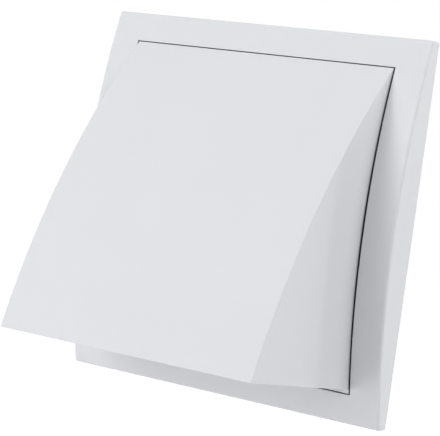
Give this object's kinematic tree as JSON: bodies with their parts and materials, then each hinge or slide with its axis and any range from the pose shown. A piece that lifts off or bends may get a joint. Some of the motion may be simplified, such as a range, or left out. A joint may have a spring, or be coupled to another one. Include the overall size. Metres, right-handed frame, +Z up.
{
  "type": "hooded wall vent with backdraft flap",
  "caption": "Square hooded wall vent: bowed frame, curved rain hood open underneath, round duct spigot, and a hinged gravity flap that keeps air from blowing back.",
  "frame": {"origin": "on the duct's axis, in the plane of the frame's wall face", "axes": "+Z up, +Y along the duct into the wall, the hood faces -Y and opens downwards"},
  "size_m": [0.15, 0.1084, 0.15],
  "materials": {
    "housing_plastic": "white moulded plastic, satin to gloss",
    "flap_plastic": "white moulded plastic, satin",
    "plated_steel": "bright zinc plate"
  },
  "bodies": {
    "housing": {"base_frame": "housing_plastic", "hood": "housing_plastic", "fixing_screw_1": "plated_steel", "fixing_screw_2": "plated_steel", "fixing_screw_3": "plated_steel", "fixing_screw_4": "plated_steel"},
    "flap": {"backdraft_flap": "flap_plastic"}
  },
  "joints": [
    {"name": "flap_hinge", "type": "hinge", "parent": "housing", "child": "flap", "pos_m": [0, -0.00499, 0.0535], "axis": [-1, 0, 0], "range_deg": [0, 28.5]}
  ]
}
